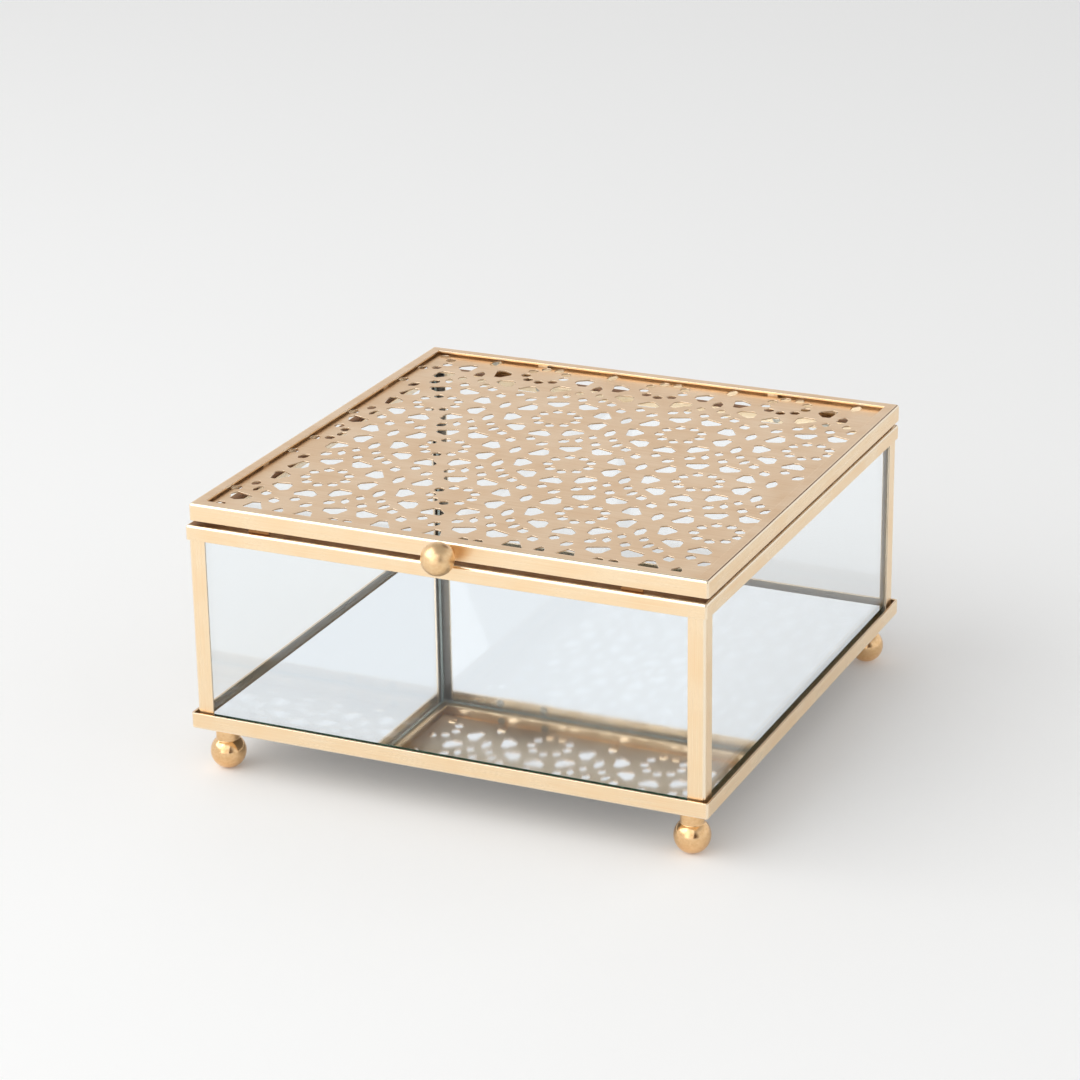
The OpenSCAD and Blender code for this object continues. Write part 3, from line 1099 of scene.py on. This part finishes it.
    def walls(self, kinds: list[np.ndarray], high: float, low: float) -> dict[str, np.ndarray]:
        """Walls of the openings and of the rim, which comes last among the kinds.

        Args:
            kinds: (count, n, 2) outlines of each kind.
            high: level of the sheet's upper face.
            low: level of its lower face.

        Returns:
            Points, quads, wear and walls (True for a quad midway down); and for each point of the
            outlines at the upper face its number, top, and the number under it, bottom.
        """
        q = np.array([0.0, np.pi / 4, np.pi / 2])
        out = self.edge * np.concatenate([1 - np.sin(q), 1 - np.sin(q[::-1])])
        drop = np.concatenate([self.edge * (1 - np.cos(q)), high - low - self.edge * (1 - np.cos(q[::-1]))])
        # Edge wear on the openings' rims; the same brightening also paints a highlight on them.
        rubbed = np.array([0.0, 1.0, 0.4, 0.4, 1.0, 0.0])
        levels = len(out)
        parts = {name: [] for name in ("points", "quads", "wear", "walls", "top", "bottom", "sizes")}
        start = 0
        for kind in kinds:
            sign = -1 if kind is kinds[-1] else 1
            count, n, _ = kind.shape
            wide = kind[:, None] + outline_normals(kind)[:, None] * (sign * out)[None, :, None, None]
            level = np.broadcast_to((high - drop)[None, :, None, None], (count, levels, n, 1))
            first = start + np.arange(count)[:, None] * levels * n
            ring = grid_faces(levels, n, True)
            quads = (first + ring.reshape(1, -1)).reshape(-1, 4)
            top = (first + np.arange(n)).reshape(-1)
            parts["points"].append(np.concatenate([wide, level], -1).reshape(-1, 3))
            parts["quads"].append(quads if sign > 0 else quads[:, ::-1])
            parts["wear"].append(np.broadcast_to(rubbed[None, :, None], (count, levels, n)).reshape(-1))
            parts["walls"].append(np.tile(np.arange(len(ring)) // n == levels // 2 - 1, count))
            parts["top"].append(top)
            parts["bottom"].append(top + (levels - 1) * n)
            parts["sizes"].append(np.full(count, n))
            start += count * levels * n
        return {name: np.concatenate(part) for name, part in parts.items()}

    def caps(self, flat: np.ndarray, sizes: np.ndarray) -> np.ndarray:
        """Triangles between the openings and the rim, by constrained Delaunay triangulation.

        Args:
            flat: (n, 2) points of all outlines, the rim's last.
            sizes: number of points in each outline.

        Returns:
            (m, 3) places in flat, anticlockwise.
        """
        ends = np.cumsum(np.concatenate([[0], sizes]))
        rings = [list(range(a, b)) for a, b in zip(ends[:-1], ends[1:])]
        shell = delaunay_2d_cdt([Vector(p) for p in flat.tolist()], [], rings, 1, 1e-7, True)
        rim = len(rings) - 1
        kept = [face for face, owners in zip(shell[2], shell[5]) if list(owners) == [rim]]
        source = np.array([v[0] for v in shell[3]])
        tri = source[np.array(kept)]
        corner = flat[tri]
        area = np.cross(corner[:, 1] - corner[:, 0], corner[:, 2] - corner[:, 0])
        return np.where(area[:, None] < 0, tri[:, ::-1], tri)

    def build(self) -> None:
        """Builds the sheet in place of its CAD node.

        Each opening's wall is its outline carried down through the sheet, and it opens out by a
        quarter circle of the edge's radius at either face. The faces are the triangles between the
        openings and the sheet's outline. The walls take a darker brass as painted shade, and the
        underside a pale brass as painted light.
        """
        low, high = node_box("pierced_panel")
        middle, half = (low + high) / 2, (high - low) / 2
        kinds = self.openings(half[0], half[1])
        square = np.array([[-1, -1], [1, -1], [1, 1], [-1, 1]]) * half[:2]
        rim = rounded_outline(square, np.full(4, self.corner), 3)[0]
        kinds.append(rim[None])
        made = self.walls(kinds, high[2], low[2])
        points = made["points"]
        tri = self.caps(points[made["top"], :2], made["sizes"])
        points[:, :2] += middle[:2]
        upper, lower = made["top"][tri], made["bottom"][tri][:, ::-1]
        faces = [*made["quads"].tolist(), *upper.tolist(), *lower.tolist()]
        # Wall quads take the darker brass: painted shade.
        slots = np.concatenate([made["walls"], np.zeros(2 * len(tri), bool)]).astype(int)
        sheet = smooth(put_mesh("pierced_sheet_brass", points, faces, made["wear"]), SHARP_DEG, True)
        # The underside takes the pale brass: painted light.
        slots[face_normals(sheet)[:, 2] < -ALONG] = 2
        set_slots(sheet, slots)
        dress(sheet, LID, "pierced_brass", ["pierced_panel"], BRASS_SHEET, BRASS_WALL_PAINTED_SHADE, BRASS_PAINTED_LIGHT)


@dataclass
class Trim:
    """Solder tabs, rests, hinge leaves, pins and rivets, which keep their CAD shapes."""

    def build(self) -> None:
        """Dresses the CAD nodes."""
        for node in ("case_leaf_left", "case_leaf_right", "lid_leaf_left", "lid_leaf_right"):
            dress_node(node, BRASS[Grain.ACROSS])
        # The rests take the dark brass: painted shade.
        dress_node("lid_rests", BRASS_PAINTED_SHADE)
        dress_node("panel_solder", TIN)
        for node in ("hinge_pin_left", "hinge_pin_right", "case_rivets", "lid_rivets"):
            dress_node(node, STEEL)


@dataclass(frozen=True)
class SoftLamp:
    """Square soft light that hangs in metres from the origin and faces the middle of the box."""

    name: str
    place: tuple[float, float, float]
    size: float
    power: float
    target: tuple[float, float, float] = (0.0, 0.0, 0.04)

    def build(self) -> None:
        """Hangs the light."""
        light = bpy.data.lights.new(self.name, "AREA")
        light.size, light.energy = self.size, self.power
        made = bpy.data.objects.new(self.name, light)
        made.location = self.place
        way = Vector(self.target) - Vector(self.place)
        made.rotation_euler = way.to_track_quat("-Z", "Y").to_euler()
        bpy.context.scene.collection.objects.link(made)


@dataclass(frozen=True)
class DarkPatch:
    """Part of the surround left dark: where the cosine to its direction rises from low to high."""

    way: tuple[float, float, float]
    low: float
    high: float
    colour: str


LAMPS = (
    SoftLamp("key_soft", (-1.1, -0.8, 1.3), 1.7, 16.0),
    SoftLamp("fill_soft", (0.1, -1.7, 0.8), 1.9, 12.0),
)
PATCHES = (
    DarkPatch((0.12, 0.83, 0.54), 0.95, 0.985, "#5A2E18"),
    DarkPatch((0.46, -0.87, 0.17), 0.78, 0.96, "#5C4B40"),
)


@dataclass
class Studio:
    """Pale floor, soft lights and the camera."""

    floor_colour: str = "#EDEDEC"
    floor_glow: float = 0.12
    floor_half: float = 9000.0
    floor_rows: int = 9
    sky_colour: str = "#F5F6F7"
    sky_low: float = 1.0
    sky_high: float = 0.52
    sky_dims_from: float = 0.4
    sky_dims_to: float = 0.8
    sensor_mm: float = 36.0
    lens_mm: float = 109.68667
    near_m: float = 0.01
    far_m: float = 50.0
    place: tuple[float, float, float] = (350.85, -775.58, 377.14)
    right: tuple[float, float, float] = (0.9110976, 0.41194549, -0.01421551)
    up: tuple[float, float, float] = (-0.13501768, 0.3308477, 0.93397539)

    def floor(self) -> None:
        """Lays a plain floor, the plane z = 0, of white acrylic that is softly lit from below."""
        made, tree = new_material("studio_acrylic_white")
        grain = noise(tree, (1.5, 1.5, 1.5), 2.0)
        paper = add_node(
            tree,
            "BsdfPrincipled",
            {
                "Base Color": linear(self.floor_colour),
                "Roughness": span(tree, grain, 0.75, 0.9),
                "Specular IOR Level": 0.2,
                "Emission Color": linear("#FFFFFF"),
                "Emission Strength": self.floor_glow,
            },
        )
        add_node(tree, "OutputMaterial", {"Surface": paper})
        line = np.linspace(-self.floor_half, self.floor_half, self.floor_rows)
        x, y = np.meshgrid(line, line)
        points = np.stack([x, y, 0 * x], -1).reshape(-1, 3)
        faces = grid_faces(self.floor_rows, self.floor_rows, False)
        mesh = bpy.data.meshes.new("studio_floor")
        mesh.from_pydata((points * MM).tolist(), [], faces.tolist())
        mesh.materials.append(made)
        floor = bpy.data.objects.new("studio_floor", mesh)
        bpy.context.scene.collection.objects.link(floor)

    def lights(self) -> None:
        """Lights the box from a white surround and two soft lamps, at the left and in front.

        The surround is brightest near the floor, dims with the height of the direction and is
        left dark in the patches.
        """
        scene = bpy.context.scene
        scene.world = bpy.data.worlds.new("white_surround")
        scene.world.use_nodes = True
        tree = scene.world.node_tree
        tree.nodes.clear()
        way = add_node(tree, "TexCoord", out="Generated")
        colour = linear(self.sky_colour)
        for patch in PATCHES:
            sockets = {0: way, 1: patch.way}
            close = add_node(tree, "VectorMath", sockets, out="Value", operation="DOT_PRODUCT")
            dim = add_node(tree, "MapRange", {"Value": close, "From Min": patch.low, "From Max": patch.high})
            colour = mix(tree, dim, colour, linear(patch.colour))
        height = add_node(tree, "SeparateXYZ", {"Vector": way}, out="Z")
        ends = {"Value": height, "From Min": self.sky_dims_from, "From Max": self.sky_dims_to}
        ends |= {"To Min": self.sky_low, "To Max": self.sky_high}
        strength = add_node(tree, "MapRange", ends)
        light = add_node(tree, "Background", {"Color": colour, "Strength": strength})
        add_node(tree, "OutputWorld", {"Surface": light})
        for lamp in LAMPS:
            lamp.build()
        scene.view_settings.view_transform = "Standard"

    def camera(self) -> None:
        """Sets the camera, with its place and directions given as vectors."""
        data = bpy.data.cameras.new("camera")
        data.sensor_width = self.sensor_mm
        data.lens = self.lens_mm
        data.clip_start, data.clip_end = self.near_m, self.far_m
        made = bpy.data.objects.new("camera", data)
        right, up = Vector(self.right), Vector(self.up)
        turn = Matrix((right, up, right.cross(up))).transposed().to_4x4()
        made.matrix_world = Matrix.Translation(Vector(self.place) * MM) @ turn
        bpy.context.scene.collection.objects.link(made)
        bpy.context.scene.camera = made

    def build(self) -> None:
        """Sets up the floor, the lights and the camera."""
        self.floor()
        self.lights()
        self.camera()


def main() -> None:
    """Builds the box around the frame and reports each piece."""
    logging.basicConfig(level=logging.INFO, format="%(message)s")
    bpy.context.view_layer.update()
    Studio().build()
    for part in (
        MitredFrame("base_rail", CASE, "brass_case", True),
        # The flange top under the lid takes the dark brass: painted shade.
        MitredFrame("top_rail", CASE, "brass_case", False, top=BRASS_PAINTED_SHADE),
        MitredFrame("lid_rail", LID, "brass_lid", False, flange=3.4),
        CornerPosts(),
        Glazing(),
        MirrorFloor(),
        BallFeet(),
        BallKnob(),
        PiercedSheet(),
        Trim(),
    ):
        part.build()


if __name__ == "__main__":
    main()
